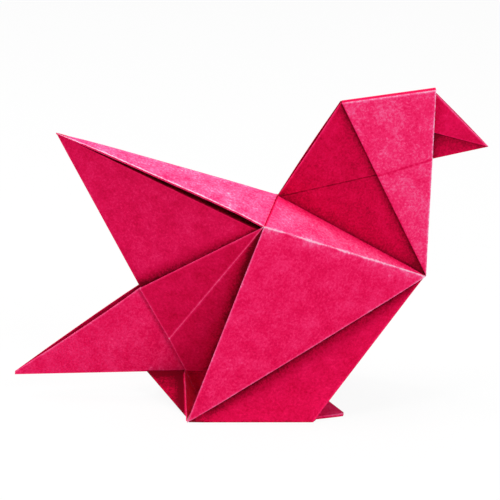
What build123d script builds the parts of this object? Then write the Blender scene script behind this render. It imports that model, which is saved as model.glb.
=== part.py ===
from build123d import *
import os

# A bird folded from one square of paper, standing on the lower edges of its body.
# Millimetres. +X points to the head, +Z is up, and the XZ plane is the middle of the bird.
# The near side is towards -Y, and the far side is its mirror image.
# Each corner is where the middle of a layer of paper runs, not its outer surface.

# The paper, and the round of a pressed fold
paper = 0.35
fold_radius = 0.2
floor = fold_radius

# How far out from the middle plane each layer stands
shoulder_out = 18.5
foot_out = 26.0
hood_out = 1.4
tail_out = 1.3
beak_out = 0.9
flap_out = 1.9
wing_end_out = 1.45

# The layers pressed together in each small foot
foot_height = 0.95

# Two layers pressed together where an edge is folded under, and how far a crease stands out
layer_step = 0.3
hem_depth = 2.0
crease_out = 0.3

# Where the crease across the neck and hood meets the hood's rear and front edges, as shares from the top
neck_crease_share = 0.415
throat_share = 0.366

# Corners on the middle plane
spike_tip = Vector(-61.9, 0, 90.3)
shoulder_top = Vector(9.5, 0, 69.3)
chest = Vector(58.4, 0, 42.0)
tail_tip = Vector(-77.8, 0, 7.6)
beak_tip = Vector(77.8, 0, 86.1)
beak_root = Vector(59.9, 0, 82.0)
stern_top = Vector(-35.6, 0, 37.7)
stern_low = Vector(-20.8, 0, 8.8)
stern_foot = Vector(-17.3, 0, floor)
keel_corner = Vector(-33.8, 0, 8.3)
body_core = Vector(0, 0, 40.0)


def near(x, out, z):
    """A corner on the near side, a given distance out from the middle plane."""
    return Vector(x, -out, z)


def beyond(start, end, share):
    """The corner on the line through two corners, at a share of the way between them."""
    return start + (end - start) * share


def in_plane(x, out, a, b, c):
    """The corner at x and out that lies flat with three others."""
    across = (b - a).cross(c - a)
    start = near(x, out, 0)
    return Vector(x, -out, (a - start).dot(across) / across.Z)


def pushed_out(point, a, b, c):
    """The corner moved straight out or in until it lies flat with three others."""
    across = (b - a).cross(c - a)
    return point + Vector(0, (a - point).dot(across) / across.Y, 0)


def leaf(*corners):
    """One flat layer of paper."""
    outline = Face(Wire.make_polygon(corners, close=True))
    return extrude(outline, amount=paper / 2, both=True)


def fold(start, end, radius=fold_radius):
    """The round outside of a fold."""
    along = end - start
    rod = Cylinder(radius, along.length, align=(Align.CENTER, Align.CENTER, Align.MIN))
    return Plane(origin=start, z_dir=along) * rod


def point_of(corner):
    """The round tip where folds meet."""
    return Pos(corner) * Sphere(fold_radius)


def hem(start, end, inner):
    """The edge of a leaf from start to end, folded under it: a second layer pressed against the first."""
    across = (end - start).cross(inner - start).normalized()
    under = across if across.dot(body_core - start) > 0 else -across
    width = hem_depth / (inner - end).length
    second = [corner + under * layer_step for corner in (start, end, beyond(end, inner, width))]
    turn = under * (layer_step / 2)
    return [leaf(*second), fold(start + turn, end + turn, (layer_step + paper) / 2)]


# Corners that two or more parts of the bird share
ridge_end = shoulder_top + Vector(0.5, 0, -0.5)
tail_root = stern_low + Vector(4.0, 0, 0.1)
wing_end = near(chest.X, wing_end_out, chest.Z)
belly_back = near(-19.4, foot_out - 0.2, floor)
belly_front = near(21.0, foot_out - 0.5, floor)
belly_ridge_end = in_plane(2.0, 0, chest, belly_back, belly_front)


def spike():
    """The long back point: a roof with side faces under it, and a slit between them."""
    roof_low = near(5.6, shoulder_out - 0.4, 63.9)
    side_top = near(4.4, shoulder_out - 1.2, 62.0)
    roof = leaf(spike_tip, ridge_end, roof_low)
    side = leaf(spike_tip, stern_top, side_top)
    return [roof, side, *hem(spike_tip, roof_low, ridge_end)]


def wing():
    """The flap on the side: its roof, its front, and the wall that turns in along its rear edge."""
    shoulder = near(5.2, shoulder_out, 64.4)
    foot = near(-19.7, foot_out, floor)
    roof_top = shoulder_top + Vector(0, -0.7, 0)
    roof = leaf(roof_top, shoulder, wing_end)
    front = leaf(shoulder, foot, wing_end)
    flap_top = near(stern_top.X, flap_out, stern_top.Z)
    flap_low = near(stern_low.X, tail_out - 0.4, stern_low.Z)
    crease = beyond(flap_top, flap_low, 0.63) + Vector(0, -crease_out, 0)
    inner = in_plane(-12.6, 4.0, shoulder, crease, flap_low)
    upper_flap = leaf(shoulder, flap_top, crease)
    lower_flap = leaf(shoulder, crease, flap_low, inner)
    wall = leaf(shoulder, inner, foot)
    wall_low = leaf(inner, near(stern_foot.X + 0.5, 0.5, floor), foot)
    folds = [
        fold(shoulder, wing_end),
        fold(shoulder, foot),
        fold(shoulder, crease),
        fold(shoulder, flap_top),
        fold(shoulder, inner),
        fold(inner, foot),
        fold(flap_top, crease),
        fold(crease, flap_low),
    ]
    return [roof, front, upper_flap, lower_flap, wall, wall_low, *folds, point_of(shoulder)]


def tail():
    """Two layers that open upwards in a narrow V, joined by the fold along the bottom."""
    edge_at_stern = near(stern_top.X, tail_out, stern_top.Z)
    root_top = beyond(tail_tip, edge_at_stern, 1.1)
    return [leaf(tail_tip, root_top, tail_root)]


def stern():
    """The folded corner under the tail: a ramp down from the tail, then an upright wall."""
    ramp_foot = near(-20.1, foot_out - 6.2, floor)
    wall_foot = near(-19.8, foot_out - 1.0, floor)
    ramp = leaf(keel_corner, stern_low, ramp_foot)
    wall = leaf(stern_low, stern_foot, wall_foot)
    return [ramp, wall, fold(keel_corner, ramp_foot), fold(stern_low, wall_foot)]


def belly():
    """The body under the wing, with its ridge on the middle plane, and the flap turned in on the floor."""
    side = leaf(chest, belly_front, belly_back, belly_ridge_end)
    toe_back = near(22.0, 23.5, floor)
    toe_tip = near(30.3, 21.4, floor)
    toe_front = near(31.4, 19.6, floor)
    toe_middle = near(22.9, 0.6, floor)
    bottom = leaf(belly_back, belly_front, toe_back, toe_middle)
    foot = Face(Wire.make_polygon([toe_back, toe_tip, toe_front, toe_middle], close=True))
    foot_stack = Pos(0, 0, -floor) * extrude(foot, amount=foot_height, dir=(0, 0, 1))
    return [side, bottom, foot_stack, fold(belly_back, belly_front)]


def neck():
    """The plain neck, which rises from between the wing roofs, with a crease from its root to its front."""
    back_low = shoulder_top + Vector(0, -0.35, -0.3)
    back_top = near(30.3, hood_out - 0.45, 100.4)
    front_low = chest + Vector(-0.3, -0.6, 0.2)
    crease = beyond(back_top, front_low, neck_crease_share) + Vector(0, -crease_out, 0)
    tucked_in = beyond(back_low, front_low, 0.5) - (back_top - back_low) * 0.25
    tucked_in = pushed_out(tucked_in, back_low, crease, front_low)
    upper = leaf(back_low, back_top, crease)
    lower = leaf(back_low, crease, front_low, tucked_in)
    return [upper, lower, fold(back_low, back_top), fold(back_low, crease)]


def hood():
    """The outer layer over the neck and head, with its narrow flat top and the same crease across it."""
    nape = near(30.3, hood_out, 100.6)
    crown = near(60.1, hood_out, 104.9)
    low = chest + Vector(0, -1.0, 0)
    crease = beyond(nape, low, neck_crease_share) + Vector(0, -crease_out, 0)
    throat = pushed_out(beyond(crown, low, throat_share), nape, crease, crown)
    far_nape = Vector(nape.X, hood_out, nape.Z)
    far_crown = Vector(crown.X, hood_out, crown.Z)
    upper = leaf(nape, crease, throat, crown)
    lower = leaf(crease, low, throat)
    top = leaf(nape, crown, far_crown, far_nape)
    return [upper, lower, top, fold(nape, crown), fold(nape, crease), fold(crease, low), fold(crease, throat)]


def beak():
    """A narrow trough that points down, with its lower sides set in under the upper ones."""
    root_x = 60.2
    tip_out = 0.15

    def upper_side(x, z):
        share = (beak_tip.X - x) / (beak_tip.X - root_x)
        return near(x, tip_out + (beak_out - tip_out) * share, z)

    upper = leaf(
        upper_side(beak_tip.X, beak_tip.Z),
        upper_side(root_x, 102.8),
        upper_side(52.0, 103.6),
        upper_side(54.0, 90.0),
        upper_side(root_x, 90.5),
    )
    lower_root = near(root_x, 0.5, 90.3)
    lower_inner = beyond(lower_root, beak_root, 0.5) - (beak_tip - beak_root) * 0.35
    lower = leaf(beak_tip, lower_root, lower_inner, beak_root)
    return [upper, lower]


def middle_folds():
    """The folds on the middle plane, the one that crosses it at the chest, and the round tips."""
    far_wing_end = Vector(wing_end.X, wing_end_out, wing_end.Z)
    return [
        fold(spike_tip, ridge_end),
        fold(spike_tip, stern_top),
        fold(tail_tip, tail_root),
        fold(stern_low, stern_foot),
        fold(belly_ridge_end, chest),
        fold(beak_root, beak_tip),
        fold(wing_end, far_wing_end),
        *[point_of(corner) for corner in (spike_tip, tail_tip, beak_tip, chest, stern_low)],
    ]


def folded_paper_bird():
    """The whole sheet: the near half and its mirror image, joined along the middle."""
    near_half = Part() + [*spike(), *wing(), *tail(), *stern(), *belly(), *neck(), *hood(), *beak()]
    far_half = mirror(near_half, about=Plane.XZ)
    return near_half + [far_half, *middle_folds()]


os.makedirs("parts", exist_ok=True)
bird = folded_paper_bird()
export_step(bird, "parts/folded_paper_bird.step")
print(bird.is_valid, len(bird.solids()), bird.volume, bird.bounding_box())
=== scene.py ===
import math
from collections import namedtuple

import bmesh
import bpy
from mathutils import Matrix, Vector, noise

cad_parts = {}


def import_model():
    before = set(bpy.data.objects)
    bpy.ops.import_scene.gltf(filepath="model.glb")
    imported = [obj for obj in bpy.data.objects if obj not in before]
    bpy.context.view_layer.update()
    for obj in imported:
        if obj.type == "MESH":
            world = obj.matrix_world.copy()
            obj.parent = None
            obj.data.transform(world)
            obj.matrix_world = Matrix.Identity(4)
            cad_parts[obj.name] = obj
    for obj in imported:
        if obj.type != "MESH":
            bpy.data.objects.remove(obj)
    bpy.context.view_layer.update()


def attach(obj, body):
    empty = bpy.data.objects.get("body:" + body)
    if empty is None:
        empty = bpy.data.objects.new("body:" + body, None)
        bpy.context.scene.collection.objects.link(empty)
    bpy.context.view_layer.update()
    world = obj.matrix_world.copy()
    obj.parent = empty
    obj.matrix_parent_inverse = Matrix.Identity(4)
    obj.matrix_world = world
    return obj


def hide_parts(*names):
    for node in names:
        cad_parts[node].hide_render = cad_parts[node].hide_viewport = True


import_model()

NODE = "folded_paper_bird"

# The bird is set out in millimetres, which MM turns into metres. Camera and lamps are in metres.
# X runs to the head, Z is up, and the XZ plane is the middle of the bird.
# The near side is towards -Y. Only that side is set out, and the far side is its mirror image.
MM = 0.001

# The paper's thickness, how far under its leaf a hem lies, and the height of the lowest layer
PAPER = 0.35
LAYER_GAP = 0.42
FLOOR = 0.2

# How wide the hems are, and how far down the slit in the top of the hood goes
ROOF_HEM = 1.5
FRONT_HEM = 2.0
TOP_SLIT_DEPTH = 3.0

# The bottom and the top of the small feet
FOOT_LOW = 0.02
FOOT_HIGH = 0.95

# How far out from the middle plane each layer stands, in millimetres
SHOULDER_OUT = 18.5
FOOT_OUT = 25.9
HOOD_OUT = 1.6
NECK_OUT = 1.05
TAIL_OUT = 2.0
BEAK_OUT = 0.85
FLAP_OUT = 3.3
FLAP_LOW_OUT = 0.9
WING_END_OUT = 1.45
TOP_SLIT_OUT = 0.3

# How far a pressed crease stands out from its leaf, and how far the neck's pleat steps out
CREASE_OUT = 0.3
PLEAT_STEP = 0.3

# Where the crease across the neck and hood meets the hood's edges, as shares from the top
NECK_CREASE_SHARE = 0.415
THROAT_SHARE = 0.366


def near(x, out, z):
    """A corner on the near side, or a step to one, from millimetres."""
    return Vector((x, -out, z)) * MM


def middle(x, z):
    """A corner on the middle plane, from millimetres."""
    return near(x, 0.0, z)


def mirrored(point):
    """The same corner on the far side."""
    return Vector((point.x, -point.y, point.z))


def in_plane(x, out, a, b, c):
    """The corner at x and out (mm) that lies flat with three others."""
    across = (b - a).cross(c - a)
    start = near(x, out, 0.0)
    return start + Vector((0.0, 0.0, (a - start).dot(across) / across.z))


def pushed_out(point, a, b, c):
    """The corner moved straight out or in until it lies flat with three others."""
    across = (b - a).cross(c - a)
    return point + Vector((0.0, (a - point).dot(across) / across.y, 0.0))


# Corners that several leaves share
SPIKE_TIP = middle(-61.9, 90.3)
SHOULDER_TOP = middle(9.5, 69.3)
CHEST = middle(58.3, 42.0)
TAIL_TIP = middle(-77.8, 7.1)
BEAK_TIP = middle(77.65, 85.8)
BEAK_ROOT = middle(59.9, 81.8)
STERN_TOP = middle(-35.45, 37.7)
STERN_LOW = middle(-20.8, 8.4)
STERN_FOOT = middle(-17.3, FLOOR)
KEEL_CORNER = middle(-33.8, 8.15)
SHOULDER = near(5.2, SHOULDER_OUT, 64.4)
WING_FOOT = near(-19.7, FOOT_OUT, FLOOR)
WING_END = near(58.4, WING_END_OUT, 42.0)

# An edge of a leaf: how much paler a thin line along it is, how much paler a soft band along it is
# (both darker if under 0), and whether it is held straight or bows with the leaf.
# Paleness is in steps of the paper's tone, from deep -2 to near white 3.
# The pale lines are painted highlights along folds and edges, partly wear, and the dark lines are
# painted shadow in gaps and creases, and painted shade where a fold turns away from the lamps.
# The bands are painted shade beside overlapping layers and in recesses, and a painted highlight
# below the front ridge.
Edge = namedtuple("Edge", "line band held")
HIDDEN = Edge(0.0, 0.0, True)
SHADED = Edge(0.0, -0.75, True)
SHADOWED = Edge(0.0, -2.2, True)
SHADOWED_LOOSE = Edge(0.0, -1.6, False)
CREVICE = Edge(-3.0, -0.4, True)
DENTED = Edge(-1.2, 0.0, True)
TURNED = Edge(-0.8, 0.0, True)
SOFT = Edge(0.4, 0.0, True)
FOLDED = Edge(1.1, 0.0, True)
# Pale lines along worn edges, which are painted highlights as well as wear
WORN_HIGHLIT = Edge(1.8, 0.0, True)
WORN_HIGHLIT_LOOSE = Edge(1.8, 0.0, False)
BRIGHT = Edge(2.5, 0.0, True)
BRIGHT_IN_SHADE = Edge(3.2, -1.6, True)
ROOF_RIDGE = Edge(1.0, 0.0, True)
FRONT_RIDGE = Edge(2.0, 1.4, True)

# The tone of each leaf's paper, which carries painted light and shade: leaves that face up to the
# lamps are painted paler, and leaves in recesses or under other layers deeper. Paler leaves also
# show more of the paper's fibres.
LIT_FROM_ABOVE = 1.6
OUTER = 1.0
PLAIN = 0.2
SIDE = -0.2
INNER = -0.6
DEEP = -1.0
DEEPEST = -1.5

# Rings of points this far in from its edges keep a leaf flat beside its folds. A ring that is
# further in than this share of the leaf's half width is left out.
RINGS = (0.3, 1.0)
RING_LIMIT = 0.6

# How far in from a held edge a leaf reaches two thirds of its bow, and the paper's unevenness
BOW_REACH = 7.0
UNEVEN_SCALE = 18.0
UNEVEN_HEIGHT = 0.16

# How often a sheet's faces are divided, how near to each other corners count as one,
# and how little of a leaf's normal may point sideways before the leaf counts as facing up or down
DIVISIONS = 3
SAME_PLACE = 0.001
SIDEWAYS = 1e-6

# The angle from which a fold shows as a sharp line
SHARP_FOLD = math.radians(50.0)

# How wide the thin lines and the soft bands along edges are, how sharply each fades,
# and how far off the fourth edge of a leaf with three counts as being
LINE_REACH = 0.65
BAND_REACH = 6.0
LINE_POWER = 1.0
BAND_POWER = 2.0
FAR_AWAY = 99.0

# The tone of the sheet's inner side, which is painted deep as the shade between layers, how much
# of its lines along edges show there, and how far a face has to look outwards to count as outer
INSIDE = -1.5
INSIDE_LINES = 0.6
OUTER_FACING = 0.3

Leaf = namedtuple("Leaf", "corners edges normal bow tone")


class Sheet:
    """Paper as a coarse control mesh, which subdivision turns into flat leaves with round folds."""

    def __init__(self):
        self.points = []
        self.index_of = {}
        self.faces = []
        self.leaves = []
        self.fixed = set()

    def point(self, place, fixed):
        key = tuple(round(v / (SAME_PLACE * MM)) for v in place)
        if key not in self.index_of:
            self.index_of[key] = len(self.points)
            self.points.append(Vector(place))
        if fixed:
            self.fixed.add(self.index_of[key])
        return self.index_of[key]

    def face(self, places, leaf, fixed=(0, 1, 2, 3)):
        self.faces.append(([self.point(p, i in fixed) for i, p in enumerate(places)], leaf))

    def leaf(self, corners, edges, bow=0.0, tone=PLAIN):
        """A flat layer with its front outwards. Each edge runs from its corner to the next."""
        count = len(corners)
        normal = front_of(corners)
        if normal.y > SIDEWAYS or (abs(normal.y) <= SIDEWAYS and normal.z < 0):
            corners, edges = turned_over(corners, edges)
            normal = -normal
        number = len(self.leaves)
        self.leaves.append(Leaf(corners, edges, normal, bow, tone))
        rings = [corners]
        for depth in RINGS:
            if depth < RING_LIMIT * half_width(corners):
                rings.append(inset(corners, normal, depth))
        self.face(rings[-1], number, fixed=() if len(rings) > 1 else range(count))
        for outer, inner in zip(rings, rings[1:]):
            fixed = (0, 1) if outer is corners else ()
            for i in range(count):
                j = (i + 1) % count
                self.face([outer[i], outer[j], inner[j], inner[i]], number, fixed)
        return number

    def hem(self, number, start, end, depth):
        """Folds a leaf's edge from start to end under it, as a second layer that is so deep (mm)."""
        corners, normal = self.leaves[number].corners, self.leaves[number].normal
        count = len(corners)
        ends = {corners.index(start), corners.index(end)}
        edge = next(i for i in range(count) if {i, (i + 1) % count} == ends)
        a, b = corners[edge], corners[(edge + 1) % count]
        before, after = corners[edge - 1], corners[(edge + 2) % count]
        inward = normal.cross((b - a).normalized())
        under = -normal * LAYER_GAP * MM
        a_in = a + (before - a) * (depth * MM / (before - a).dot(inward))
        b_in = b + (after - b) * (depth * MM / (after - b).dot(inward))
        self.face([b, a, a + under, b + under], number)
        self.face([b + under, a + under, a_in + under, b_in + under], number)

    def both_sides(self):
        """Adds the mirror image, joined wherever the sheet meets the middle plane."""
        faces, leaves, fixed = list(self.faces), list(self.leaves), set(self.fixed)
        for leaf in leaves:
            corners, edges = turned_over(leaf.corners, leaf.edges)
            corners = [mirrored(corner) for corner in corners]
            self.leaves.append(leaf._replace(corners=corners, edges=edges, normal=mirrored(leaf.normal)))
        for indices, number in faces:
            places = [mirrored(self.points[i]) for i in reversed(indices)]
            kept = [n for n, i in enumerate(reversed(indices)) if i in fixed]
            self.face(places, number + len(leaves), kept)
        return self

    def mesh(self):
        """The subdivided sheet with its leaves bowed, and with tones and edges for the material."""
        fine = subdivided(self.points, self.faces, self.fixed)
        flat = [vertex.co.copy() for vertex in fine.vertices]
        numbers = [item.value for item in fine.attributes["leaf"].data]
        leaves_at, distances, lines, bands = {}, [], [], []
        for polygon, number in zip(fine.polygons, numbers):
            leaf = self.leaves[number]
            for v in polygon.vertices:
                leaves_at.setdefault(v, set()).add(number)
                distances += four(distances_in(leaf, flat[v]), FAR_AWAY)
                lines += four([edge.line for edge in leaf.edges], 0.0)
                bands += four([edge.band for edge in leaf.edges], 0.0)
        for name, values in (("edge_distance", distances), ("edge_line", lines), ("edge_band", bands)):
            fine.attributes.new(name, "FLOAT_COLOR", "CORNER").data.foreach_set("color", values)
        tones = [self.leaves[number].tone for number in numbers]
        fine.attributes.new("tone", "FLOAT", "FACE").data.foreach_set("value", tones)
        for v, touching in leaves_at.items():
            for number in touching:
                fine.vertices[v].co += bowed(self.leaves[number], flat[v]) / len(touching)
        return fine

    def paper(self):
        """The sheet with the paper's thickness. Its cut edges and inner side are painted deeper, as
        shade, with fainter lines.
        """
        paper = shaped(self.mesh(), "SOLIDIFY", thickness=PAPER * MM, offset=0.0)
        numbers = paper.attributes["leaf"].data
        lines, tones = paper.attributes["edge_line"].data, paper.attributes["tone"].data
        for polygon in paper.polygons:
            leaf = self.leaves[numbers[polygon.index].value]
            facing = polygon.normal.dot(leaf.normal)
            if facing < OUTER_FACING:
                tones[polygon.index].value = INSIDE if facing < -OUTER_FACING else min(leaf.tone, INNER)
                for loop in polygon.loop_indices:
                    lines[loop].color = [line * INSIDE_LINES for line in lines[loop].color]
        return paper


def turned_over(corners, edges):
    """The corners the other way round, and the edges in the order that goes with them."""
    count = len(corners)
    return corners[::-1], [edges[(count - 2 - i) % count] for i in range(count)]


def four(values, rest):
    """Four values, as a colour attribute holds: the first ones, filled up with the rest."""
    return (values + [rest] * 4)[:4]


def distances_in(leaf, place):
    """How far in a place lies from each edge of its leaf, in mm."""
    found = []
    for i, corner in enumerate(leaf.corners):
        along = (leaf.corners[(i + 1) % len(leaf.corners)] - corner).normalized()
        found.append(max(0.0, (place - corner).dot(leaf.normal.cross(along))) / MM)
    return found


def bowed(leaf, place):
    """How a place on a leaf moves as the paper bows between the edges that hold it."""
    share = 1.0
    for edge, inside in zip(leaf.edges, distances_in(leaf, place)):
        if edge.held:
            share *= 1.0 - math.exp(-inside / BOW_REACH)
    uneven = noise.noise(place / (UNEVEN_SCALE * MM)) * UNEVEN_HEIGHT
    return leaf.normal * (leaf.bow + uneven) * share * MM


def front_of(corners):
    """The normal of a flat outline."""
    if len(corners) == 3:
        return (corners[1] - corners[0]).cross(corners[2] - corners[0]).normalized()
    return (corners[2] - corners[0]).cross(corners[3] - corners[1]).normalized()


def half_width(corners):
    """About how far the middle of an outline is from its edges, in mm."""
    doubled, around = Vector((0.0, 0.0, 0.0)), 0.0
    for i, corner in enumerate(corners):
        doubled += corners[i - 1].cross(corner)
        around += (corner - corners[i - 1]).length
    return doubled.length / around / MM


def inset(corners, normal, depth):
    """The outline moved in by a depth in mm."""
    moved = []
    for i, corner in enumerate(corners):
        before = (corner - corners[i - 1]).normalized()
        after = (corners[(i + 1) % len(corners)] - corner).normalized()
        sine = before.cross(after).dot(normal)
        moved.append(corner + (after - before) * (depth / sine * MM))
    return moved


def subdivided(points, faces, fixed):
    """Catmull-Clark subdivision, with the fixed points and the straight lines between them kept."""
    bm = bmesh.new()
    leaf_of = bm.faces.layers.int.new("leaf")
    corner_crease = bm.verts.layers.float.new("crease_vert")
    edge_crease = bm.edges.layers.float.new("crease_edge")
    verts = [bm.verts.new(p) for p in points]
    for indices, leaf in faces:
        bm.faces.new([verts[i] for i in indices])[leaf_of] = leaf
    kept = {verts[i] for i in fixed}
    for vert in kept:
        vert[corner_crease] = 1.0
    for edge in bm.edges:
        if kept.issuperset(edge.verts):
            edge[edge_crease] = 1.0
    bmesh.ops.recalc_face_normals(bm, faces=bm.faces)
    coarse = bpy.data.meshes.new("coarse_sheet")
    bm.to_mesh(coarse)
    bm.free()
    return shaped(coarse, "SUBSURF", levels=DIVISIONS, render_levels=DIVISIONS)


def shaped(mesh, kind, **settings):
    """A new mesh, as one modifier makes it. The old mesh is used up."""
    holder = bpy.data.objects.new("holder", mesh)
    bpy.context.scene.collection.objects.link(holder)
    modifier = holder.modifiers.new("shape", kind)
    for name, value in settings.items():
        setattr(modifier, name, value)
    graph = bpy.context.evaluated_depsgraph_get()
    made = bpy.data.meshes.new_from_object(holder.evaluated_get(graph))
    bpy.data.objects.remove(holder)
    bpy.data.meshes.remove(mesh)
    return made


def spike_roof():
    """The roof of the back point, folded under along its lower edge."""
    sheet = Sheet()
    ridge_end = SHOULDER_TOP + near(0.5, 0.0, -0.1)
    low = near(5.6, SHOULDER_OUT - 0.4, 63.95)
    # The roof is painted pale as lit from above, with a painted highlight on its lower fold and a
    # painted shadow line where the wing's edge lies over it
    roof = sheet.leaf([SPIKE_TIP, low, ridge_end], [WORN_HIGHLIT_LOOSE, CREVICE, SOFT], bow=1.0, tone=LIT_FROM_ABOVE)
    sheet.hem(roof, SPIKE_TIP, low, ROOF_HEM)
    return sheet.both_sides()


def spike_side():
    """The side under the roof, which sinks in behind the wing, with painted shade under the slit and
    the flap, and a layer turned in along its top, painted nearly black as the shade seen through the
    slit.
    """
    sheet = Sheet()
    tip = SPIKE_TIP + near(0.2, 0.0, -0.4)
    top = near(4.4, SHOULDER_OUT - 1.2, 62.0)
    shade_lining = near(6.0, 2.0, 65.9)
    top_edge = SOFT._replace(band=-0.4)
    sheet.leaf([tip, STERN_TOP, top], [SOFT, SHADOWED, top_edge], bow=-1.2, tone=SIDE)
    sheet.leaf([tip, top, shade_lining], [HIDDEN, HIDDEN, HIDDEN], tone=DEEPEST - 0.5)
    return sheet.both_sides()


def wing():
    """The wing's roof and front, the walls along its rear edge, and the creased flap behind it."""
    sheet = Sheet()
    top = SHOULDER_TOP + near(0.0, 0.7, 0.0)
    flap_top = near(-35.6, FLAP_OUT, 38.35)
    flap_low = near(-20.8, FLAP_LOW_OUT, 8.7)
    crease = flap_top.lerp(flap_low, 0.615) + near(0.4, CREASE_OUT, 0.1)
    inner = pushed_out(middle(-11.6, 9.3), SHOULDER, crease, flap_low)
    # The roof is painted pale as lit from above, with painted shade along the neck; the front has
    # painted highlights along its edges and ridge, and a painted highlight band below the ridge
    roof_edges = [CREVICE, ROOF_RIDGE, SHADOWED._replace(band=-1.9)]
    roof = sheet.leaf([top, SHOULDER, WING_END], roof_edges, bow=0.2, tone=LIT_FROM_ABOVE - 0.1)
    front = sheet.leaf([SHOULDER, WING_FOOT, WING_END], [WORN_HIGHLIT, WORN_HIGHLIT_LOOSE, FRONT_RIDGE], bow=0.6)
    # The walls and the corner under the tail are painted deep as the shade inside the body, and the flap
    # has painted highlights on its edges and crease and a painted shadow beside the wing's rear edge
    sheet.leaf([SHOULDER, inner, WING_FOOT], [HIDDEN, HIDDEN, FOLDED], tone=DEEPEST)
    sheet.leaf([inner, STERN_FOOT, WING_FOOT], [HIDDEN, HIDDEN, HIDDEN], tone=DEEPEST)
    sheet.leaf([inner, STERN_FOOT, STERN_LOW], [HIDDEN, BRIGHT, SHADED], tone=DEEP + 0.4)
    sheet.leaf([SHOULDER, flap_top, crease], [WORN_HIGHLIT, WORN_HIGHLIT, BRIGHT], bow=0.15, tone=INNER)
    flap_edges = [FOLDED, WORN_HIGHLIT, SOFT, SHADOWED._replace(band=-2.8)]
    sheet.leaf([SHOULDER, crease, flap_low, inner], flap_edges, bow=0.1, tone=INNER)
    sheet.hem(roof, top, SHOULDER, ROOF_HEM)
    sheet.hem(front, WING_FOOT, WING_END, FRONT_HEM)
    return sheet.both_sides()


def tail():
    """The tail's two layers, which bow apart at the top, with a faint crease across each."""
    sheet = Sheet()
    root_low = STERN_LOW + near(4.0, 0.0, 0.1)
    root_top = near(-35.2, TAIL_OUT, 38.5)
    tip_top = pushed_out(TAIL_TIP + near(0.1, 0.0, 1.0), TAIL_TIP, root_low, root_top)
    crease_low = TAIL_TIP.lerp(root_low, 0.73)
    crease_top = root_low.lerp(root_top, 0.433)
    outline = [TAIL_TIP, crease_low, crease_top, root_top, tip_top]
    # A painted highlight runs along the top edge, and faint pale lines along the crease
    sheet.leaf(outline, [SOFT, SOFT, HIDDEN, WORN_HIGHLIT_LOOSE, HIDDEN], bow=1.9)
    sheet.leaf([crease_low, root_low, crease_top], [SOFT, HIDDEN, SOFT])
    return sheet.both_sides()


def stern():
    """The folded corner under the tail, and the upright wall behind it."""
    ramp_sheet, wall_sheet = Sheet(), Sheet()
    top = STERN_LOW + near(-0.5, 0.0, -0.05)
    ramp_foot = near(-20.35, FOOT_OUT - 5.2, FLOOR)
    wall_foot = near(-20.0, FOOT_OUT - 1.0, FLOOR)
    # The ramp is painted deepest, as it lies in the tail's shade, with painted shade along its top and
    # beside its painted highlight line; the wall has painted highlights on its edges
    ramp_edges = [SHADOWED, BRIGHT_IN_SHADE, SOFT]
    ramp_sheet.leaf([KEEL_CORNER, top, ramp_foot], ramp_edges, tone=DEEPEST)
    wall_sheet.leaf([top, STERN_FOOT, wall_foot], [FOLDED, HIDDEN, BRIGHT], tone=PLAIN)
    return [ramp_sheet.both_sides(), wall_sheet.both_sides()]


def belly():
    """The body under the wings, which sinks in behind them, and the flaps turned in on the floor."""
    sheet = Sheet()
    front = CHEST + near(0.05, 0.0, -0.1)
    back_low = near(-19.2, FOOT_OUT - 0.1, FLOOR)
    front_low = near(21.0, FOOT_OUT - 0.2, FLOOR)
    toe_back = near(22.0, FOOT_OUT - 2.4, FLOOR)
    toe_middle = near(22.9, 0.6, FLOOR)
    ridge_end = in_plane(2.0, 0.0, front, back_low, front_low)
    # The side is painted a little deeper, with a painted shadow under the wing's lower edge and a
    # painted shade line along its bottom fold; the parts behind the wing are painted deep as shade
    side_edges = [FOLDED, TURNED, SHADOWED_LOOSE]
    sheet.leaf([front, front_low, back_low], side_edges, bow=-2.0, tone=SIDE - 0.35)
    sheet.leaf([front, back_low, ridge_end], [SHADOWED_LOOSE, HIDDEN, HIDDEN], bow=-2.0, tone=DEEP)
    sheet.leaf([front_low, back_low, toe_middle, toe_back], [TURNED, HIDDEN, HIDDEN, HIDDEN], tone=DEEP)
    return sheet.both_sides()


def feet():
    """The small feet, each of several layers pressed together with a round tip."""
    sheet = Sheet()
    outline = [(22.9, 0.6), (20.6, 23.5), (29.7, 20.7), (30.9, 20.2), (31.2, 19.2)]
    count = len(outline)
    low = [near(x, out, FOOT_LOW) for x, out in outline]
    high = [near(x, out, FOOT_HIGH) for x, out in outline]
    # The tops have painted highlights along their edges, and the sides a painted shade line at the
    # bottom
    sheet.leaf(high, [SOFT, FOLDED, FOLDED, FOLDED, HIDDEN], tone=PLAIN + 0.1)
    sheet.leaf(low, [HIDDEN] * count, tone=DEEP)
    for i in range(count):
        j = (i + 1) % count
        sheet.leaf([low[i], low[j], high[j], high[i]], [TURNED, SOFT, FOLDED, SOFT])
    return sheet.both_sides()


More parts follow.
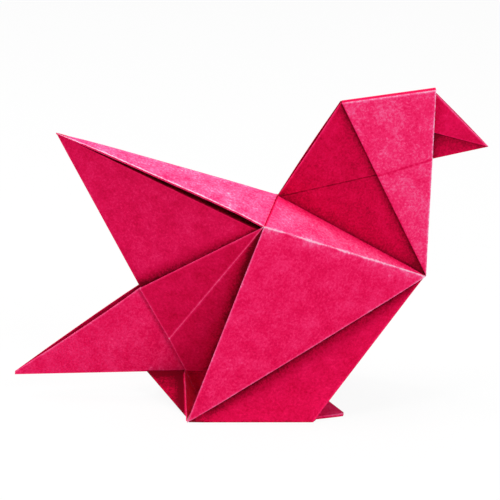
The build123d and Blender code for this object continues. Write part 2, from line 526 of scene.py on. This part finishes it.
def neck():
    """The plain neck, with a small pleat from its root to the hood."""
    sheet = Sheet()
    back_low = SHOULDER_TOP + near(0.0, 0.35, -0.3)
    back_top = near(29.7, NECK_OUT, 100.6)
    front_low = CHEST + near(0.2, 0.5, -0.3)
    under_hood = near(1.4, 0.0, 0.0)
    pleat = back_top.lerp(front_low, NECK_CREASE_SHARE) + under_hood + near(0.0, 0.0, 0.8)
    pleat_high = pleat + near(0.0, PLEAT_STEP / 2, 0.0)
    pleat_low = pleat - near(0.0, PLEAT_STEP / 2, 0.0)
    tucked_in = back_low.lerp(front_low, 0.5) - (back_top - back_low) * 0.25
    tucked_in = pushed_out(tucked_in, back_low, pleat_low, front_low)
    # The neck is painted deep, as it lies in the hood's shade, with painted shadow along the hood's edge
    # and the wing roof, a painted dark line in its pleat and a painted highlight on its back edge
    upper = [back_low, pleat_high, back_top + under_hood, back_top]
    upper_edges = [HIDDEN, SHADOWED._replace(band=-1.6), HIDDEN, WORN_HIGHLIT_LOOSE]
    lower_edges = [SHADED, SHADOWED._replace(band=-1.2), DENTED]
    sheet.leaf(upper, upper_edges, bow=1.9, tone=DEEP)
    sheet.leaf([back_low, front_low, pleat_low], lower_edges, tone=DEEP)
    sheet.leaf([back_low, tucked_in, front_low], [HIDDEN, HIDDEN, HIDDEN], tone=DEEP)
    return sheet.both_sides()


def hood():
    """The outer layer over the neck and head: each side folds over at the top, with a slit between."""
    sheet = Sheet()
    nape = near(30.15, HOOD_OUT, 100.5)
    crown = near(60.3, HOOD_OUT, 104.8)
    low = CHEST + near(0.2, 1.0, 0.0)
    crease = nape.lerp(low, NECK_CREASE_SHARE) + near(0.0, CREASE_OUT, 0.0)
    throat = pushed_out(crown.lerp(low, THROAT_SHARE), nape, crease, crown)
    inward = near(0.0, TOP_SLIT_OUT - HOOD_OUT, 0.0)
    down = near(0.0, 0.0, -TOP_SLIT_DEPTH)
    top = [nape, crown, crown + inward, nape + inward]
    # The sides are painted pale as the most lit faces, with painted highlights on the front and top
    # edges and painted shade lines where they fold away; the wall down into the top slit is painted deep
    # as shade
    sheet.leaf([nape, crease, throat, crown], [TURNED, DENTED, WORN_HIGHLIT, WORN_HIGHLIT], bow=0.12, tone=OUTER - 0.1)
    sheet.leaf([crease, low, throat], [TURNED, WORN_HIGHLIT, DENTED], bow=0.1, tone=OUTER)
    sheet.leaf(top, [WORN_HIGHLIT, HIDDEN, SOFT, HIDDEN], tone=INNER)
    sheet.leaf([top[3], top[2], top[2] + down, top[3] + down], [SOFT, HIDDEN, HIDDEN, HIDDEN], tone=DEEP)
    return sheet.both_sides()


def beak():
    """A trough that points down, open at the top, with its lower sides set in under the upper ones."""
    root_x = 60.2
    inside_x = 59.0
    tip_out = 0.15
    tip_x, tip_z = BEAK_TIP.x / MM, BEAK_TIP.z / MM

    def upper_side(x, z):
        share = (tip_x - x) / (tip_x - root_x)
        return near(x, tip_out + (BEAK_OUT - tip_out) * share, z)

    outline = [upper_side(tip_x, tip_z), upper_side(root_x, 103.7), upper_side(inside_x, 103.6)]
    # The upper sides have a painted highlight along their top edges and painted shade at the root, and
    # the lower sides are painted deep as the shade under them
    upper_edges = [WORN_HIGHLIT_LOOSE._replace(line=2.8), HIDDEN, SHADED, SOFT]
    upper_sheet, lower_sheet = Sheet(), Sheet()
    upper_sheet.leaf([*outline, upper_side(inside_x, 90.9)], upper_edges, bow=2.2, tone=INNER + 0.1)
    lower_root = near(root_x, 0.4, 90.3)
    lower_inner = lower_root.lerp(BEAK_ROOT, 0.5) - (BEAK_TIP - BEAK_ROOT) * 0.12
    lower_edges = [SHADED, SHADED, SHADED, SOFT]
    lower_sheet.leaf([BEAK_TIP, lower_root, lower_inner, BEAK_ROOT], lower_edges, tone=DEEP)
    return [upper_sheet.both_sides(), lower_sheet.both_sides()]


def joined(meshes):
    """One mesh of several, which are used up."""
    whole = bmesh.new()
    for mesh in meshes:
        whole.from_mesh(mesh)
        bpy.data.meshes.remove(mesh)
    made = bpy.data.meshes.new("folded_paper")
    whole.to_mesh(made)
    whole.free()
    return made


def folded_bird():
    """Every fold of the one sheet, in one object with the paper's thickness."""
    sheets = [spike_roof(), spike_side(), wing(), tail(), *stern(), belly(), neck(), hood(), *beak()]
    mesh = joined([sheet.paper() for sheet in sheets] + [feet().mesh()])
    mesh.shade_smooth()
    mesh.set_sharp_from_angle(angle=SHARP_FOLD)
    mesh.materials.append(paper_material())
    bird = bpy.data.objects.new("folded_paper", mesh)
    bpy.context.scene.collection.objects.link(bird)
    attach(bird, "root")
    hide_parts(NODE)


def add(tree, kind, x, y, settings=None, **values):
    """A new shader node at a place on the node sheet, with its settings and input values."""
    made = tree.nodes.new(kind)
    made.location = (x, y)
    for name, value in (settings or {}).items():
        setattr(made, name, value)
    for name, value in values.items():
        made.inputs[name.replace("_", " ")].default_value = value
    return made


def fed(tree, node, parts):
    """The node, with outputs of other nodes or plain values put into its inputs in turn."""
    for socket, part in zip(node.inputs, parts):
        if isinstance(part, bpy.types.NodeSocket):
            tree.links.new(part, socket)
        else:
            socket.default_value = part
    return node


def maths(tree, x, y, operation, *parts, clamped=False):
    """The number that a Math node makes of its parts."""
    settings = {"operation": operation, "use_clamp": clamped}
    return fed(tree, add(tree, "ShaderNodeMath", x, y, settings), parts).outputs[0]


def vector_maths(tree, x, y, operation, *parts):
    """The vector that a Vector Math node makes of its parts, or the number for a dot product."""
    made = fed(tree, add(tree, "ShaderNodeVectorMath", x, y, {"operation": operation}), parts)
    return made.outputs["Value" if operation == "DOT_PRODUCT" else "Vector"]


def along_edges(tree, strengths, reach, power, y):
    """The named strengths of a leaf's first four edges, each faded out over the reach, added up."""
    distance = add(tree, "ShaderNodeAttribute", -2200, y, {"attribute_name": "edge_distance"})
    strength = add(tree, "ShaderNodeAttribute", -2200, y - 200, {"attribute_name": strengths})
    fade = -1.0 / reach

    three = distance.outputs["Vector"]
    three = vector_maths(tree, -2000, y, "MULTIPLY_ADD", three, (fade,) * 3, (1.0,) * 3)
    three = vector_maths(tree, -1800, y, "MAXIMUM", three, (0.0,) * 3)
    three = vector_maths(tree, -1600, y, "POWER", three, (power,) * 3)
    three = vector_maths(tree, -1400, y, "DOT_PRODUCT", three, strength.outputs["Vector"])

    fourth = distance.outputs["Alpha"]
    fourth = maths(tree, -2000, y - 300, "MULTIPLY_ADD", fourth, fade, 1.0, clamped=True)
    fourth = maths(tree, -1800, y - 300, "POWER", fourth, power)
    return maths(tree, -1400, y - 300, "MULTIPLY_ADD", fourth, strength.outputs["Alpha"], three)


# How much the paper's tone varies: in patches, in its grain, along its fibres, which are this thin,
# and in the soft bands of painted shade and highlight along edges
CLOUD_SPREAD = 1.8
GRAIN_SPREAD = 2.0
FIBRE_PALENESS = 0.4
FIBRE_THINNESS = 22.0
BAND_SPREAD = 3.0

# How strongly deep and pale paper shows all that, and how high its fibres stand beside its grain
DEEP_VARIES = 0.9
OUTER_VARIES = 1.5
FIBRE_RELIEF = 0.5

# The paper's colour at each tone, from the deepest crimson, used for painted shade, to nearly white,
# used for painted highlights on worn folds
TONES = [
    (-2.0, (0.20, 0.0004, 0.012)),
    (-1.0, (0.60, 0.0008, 0.046)),
    (0.0, (0.79, 0.0045, 0.087)),
    (1.0, (0.91, 0.024, 0.152)),
    (2.0, (0.92, 0.105, 0.290)),
    (2.5, (0.93, 0.190, 0.400)),
    (3.0, (0.95, 0.480, 0.640)),
]
DEEPEST_TONE = TONES[0][0]
PALEST_TONE = TONES[-1][0]


def tone_colours(tree, x, y):
    """A colour ramp over the whole range of tones."""
    ramp = add(tree, "ShaderNodeValToRGB", x, y)
    stops = ramp.color_ramp.elements
    while len(stops) < len(TONES):
        stops.new(0.5)
    for stop, (tone, colour) in zip(stops, TONES):
        stop.position = (tone - DEEPEST_TONE) / (PALEST_TONE - DEEPEST_TONE)
        stop.color = (*colour, 1.0)
    return ramp


def paper_material():
    """Crimson paper: mottled and fibrous, with painted highlights, partly wear, along its folds
    and painted shade where it is tucked in.
    """
    material = bpy.data.materials.new("crimson_paper")
    material.use_nodes = True
    tree = material.node_tree
    tree.nodes.clear()
    link = tree.links.new
    place = add(tree, "ShaderNodeTexCoord", -2400, 600).outputs["Object"]
    tone = add(tree, "ShaderNodeAttribute", -1400, 1200, {"attribute_name": "tone"}).outputs["Fac"]

    cloud = add(tree, "ShaderNodeTexNoise", -2000, 900, Scale=190.0, Detail=4.0, Roughness=0.6)
    grain = add(tree, "ShaderNodeTexNoise", -2000, 600, Scale=1300.0, Detail=3.0, Roughness=0.6)
    strand = add(tree, "ShaderNodeTexNoise", -2000, 300, Scale=330.0, Detail=2.0, Roughness=0.5)
    strand.inputs["Distortion"].default_value = 2.2
    for pattern in (cloud, grain, strand):
        link(place, pattern.inputs["Vector"])
    cloud, grain, strand = cloud.outputs["Fac"], grain.outputs["Fac"], strand.outputs["Fac"]
    cloudy = maths(tree, -1700, 900, "MULTIPLY_ADD", cloud, CLOUD_SPREAD, -CLOUD_SPREAD / 2)
    grainy = maths(tree, -1700, 600, "MULTIPLY_ADD", grain, GRAIN_SPREAD, -GRAIN_SPREAD / 2)
    from_ridge = maths(tree, -1700, 300, "SUBTRACT", strand, 0.5)
    from_ridge = maths(tree, -1500, 300, "ABSOLUTE", from_ridge)
    fibres = maths(tree, -1300, 300, "MULTIPLY_ADD", from_ridge, -FIBRE_THINNESS, 1.0, clamped=True)
    mottling = maths(tree, -1300, 700, "ADD", cloudy, grainy)
    mottling = maths(tree, -1100, 500, "MULTIPLY_ADD", fibres, FIBRE_PALENESS, mottling)

    lively = add(tree, "ShaderNodeMapRange", -1100, 1200, From_Min=DEEP, From_Max=OUTER)
    lively.inputs["To Min"].default_value = DEEP_VARIES
    lively.inputs["To Max"].default_value = OUTER_VARIES
    link(tone, lively.inputs["Value"])
    mottled = maths(tree, -800, 900, "MULTIPLY_ADD", mottling, lively.outputs["Result"], tone)

    # Painted light and shade: the bands darken the paper beside overlapping layers and in recesses, and
    # the lines add painted highlights and painted shadow lines along edges
    band = along_edges(tree, "edge_band", BAND_REACH, BAND_POWER, -100)
    patchy = maths(tree, -1100, 0, "MULTIPLY_ADD", cloud, BAND_SPREAD, 1.0 - BAND_SPREAD / 2)
    banded = maths(tree, -600, 600, "MULTIPLY_ADD", band, patchy, mottled)
    line = along_edges(tree, "edge_line", LINE_REACH, LINE_POWER, -700)
    lined = maths(tree, -400, 400, "ADD", line, banded)

    fitted = add(tree, "ShaderNodeMapRange", -200, 300, From_Min=DEEPEST_TONE, From_Max=PALEST_TONE)
    link(lined, fitted.inputs["Value"])
    colours = tone_colours(tree, 0, 300)
    link(fitted.outputs["Result"], colours.inputs["Fac"])

    height = maths(tree, -800, -300, "MULTIPLY_ADD", fibres, FIBRE_RELIEF, grain)
    bump = add(tree, "ShaderNodeBump", 0, -200, Strength=0.5, Distance=0.05 * MM)
    link(height, bump.inputs["Height"])

    surface = add(tree, "ShaderNodeBsdfPrincipled", 350, 0, Roughness=0.7, Specular_IOR_Level=0.03)
    surface.inputs["Sheen Weight"].default_value = 0.04
    surface.inputs["Sheen Roughness"].default_value = 0.4
    surface.inputs["Sheen Tint"].default_value = (1.0, 0.5, 0.65, 1.0)
    link(colours.outputs["Color"], surface.inputs["Base Color"])
    link(bump.outputs["Normal"], surface.inputs["Normal"])
    output = add(tree, "ShaderNodeOutputMaterial", 650, 0)
    link(surface.outputs["BSDF"], output.inputs["Surface"])
    return material


# The camera looks at the bird's side from a little above, through a long lens
CAMERA_DISTANCE = 0.8
CAMERA_PITCH = math.radians(18.0)
CAMERA_AIM = near(0.6, 0.0, 50.5)
VIEW_WIDTH = 0.164


def camera():
    data = bpy.data.cameras.new("camera")
    data.sensor_width = 36.0
    data.lens = data.sensor_width * CAMERA_DISTANCE / VIEW_WIDTH
    data.clip_start = 0.05
    data.clip_end = 20.0
    eye = bpy.data.objects.new("camera", data)
    back = Vector((0.0, -math.cos(CAMERA_PITCH), math.sin(CAMERA_PITCH)))
    eye.location = CAMERA_AIM + back * CAMERA_DISTANCE
    eye.rotation_euler = (math.pi / 2 - CAMERA_PITCH, 0.0, 0.0)
    bpy.context.scene.collection.objects.link(eye)
    bpy.context.scene.camera = eye


# The lamps stand round the middle of the bird
LAMP_DISTANCE = 0.9
LAMP_AIM = middle(0.0, 50.0)


def soft_light(name, azimuth, elevation, size, power):
    """A square lamp that faces the bird. Azimuth 0 is in front, and 90 is at the head's side."""
    data = bpy.data.lights.new(name, "AREA")
    data.shape = "SQUARE"
    data.size = size
    data.energy = power
    lamp = bpy.data.objects.new(name, data)
    turn, rise = math.radians(azimuth), math.radians(elevation)
    level = math.cos(rise)
    away = Vector((math.sin(turn) * level, -math.cos(turn) * level, math.sin(rise)))
    lamp.location = LAMP_AIM + away * LAMP_DISTANCE
    lamp.rotation_euler = away.to_track_quat("Z", "Y").to_euler()
    bpy.context.scene.collection.objects.link(lamp)


# How much white the table top and the backdrop take on where they are seen, how strong the even
# light is, and how far the table top reaches
FLOOR_WHITE_SHARE = 0.92
BACKDROP_WHITE_SHARE = 1.0
FILL_STRENGTH = 0.22
TABLE_HALF_WIDTH = 4.0


def white_when_seen(tree, lit, white, share):
    """The lit surface, which the camera, reflections and glass see mixed with a share of white."""
    path = add(tree, "ShaderNodeLightPath", -800, 300).outputs
    seen = maths(tree, -600, 300, "MAXIMUM", path["Is Camera Ray"], path["Is Glossy Ray"])
    seen = maths(tree, -400, 300, "MAXIMUM", seen, path["Is Transmission Ray"])
    seen = maths(tree, -200, 300, "MULTIPLY", seen, share)
    mix = add(tree, "ShaderNodeMixShader", 200, 200)
    tree.links.new(seen, mix.inputs["Fac"])
    tree.links.new(lit.outputs[0], mix.inputs[1])
    tree.links.new(white.outputs[0], mix.inputs[2])
    return mix.outputs[0]


def floor():
    """A wide white table top that keeps the bird's shadow."""
    half = TABLE_HALF_WIDTH
    mesh = bpy.data.meshes.new("table_top")
    corners = [(-half, -half, 0), (half, -half, 0), (half, half, 0), (-half, half, 0)]
    mesh.from_pydata(corners, [], [(0, 1, 2, 3)])
    top = bpy.data.objects.new("table_top", mesh)
    bpy.context.scene.collection.objects.link(top)
    material = bpy.data.materials.new("white_table")
    material.use_nodes = True
    tree = material.node_tree
    tree.nodes.clear()
    lit = add(tree, "ShaderNodeBsdfDiffuse", -200, 0, Color=(0.8, 0.8, 0.8, 1))
    white = add(tree, "ShaderNodeEmission", -200, -200, Color=(1, 1, 1, 1), Strength=1.0)
    output = add(tree, "ShaderNodeOutputMaterial", 450, 0)
    tree.links.new(white_when_seen(tree, lit, white, FLOOR_WHITE_SHARE), output.inputs["Surface"])
    mesh.materials.append(material)


def world():
    """White where it is seen, and a low even light."""
    made = bpy.data.worlds.new("studio")
    bpy.context.scene.world = made
    made.use_nodes = True
    tree = made.node_tree
    tree.nodes.clear()
    fill = add(tree, "ShaderNodeBackground", -200, 0, Color=(1, 1, 1, 1), Strength=FILL_STRENGTH)
    white = add(tree, "ShaderNodeBackground", -200, -200, Color=(1, 1, 1, 1), Strength=1.0)
    output = add(tree, "ShaderNodeOutputWorld", 450, 0)
    seen = white_when_seen(tree, fill, white, BACKDROP_WHITE_SHARE)
    tree.links.new(seen, output.inputs["Surface"])


def studio():
    soft_light("right_front", 40, 38, size=0.35, power=3.9)
    soft_light("left_top", -90, 64, size=0.5, power=7.0)
    soft_light("back_top", 180, 64, size=0.5, power=2.2)


bpy.context.scene.view_settings.view_transform = "Standard"
folded_bird()
floor()
world()
studio()
camera()
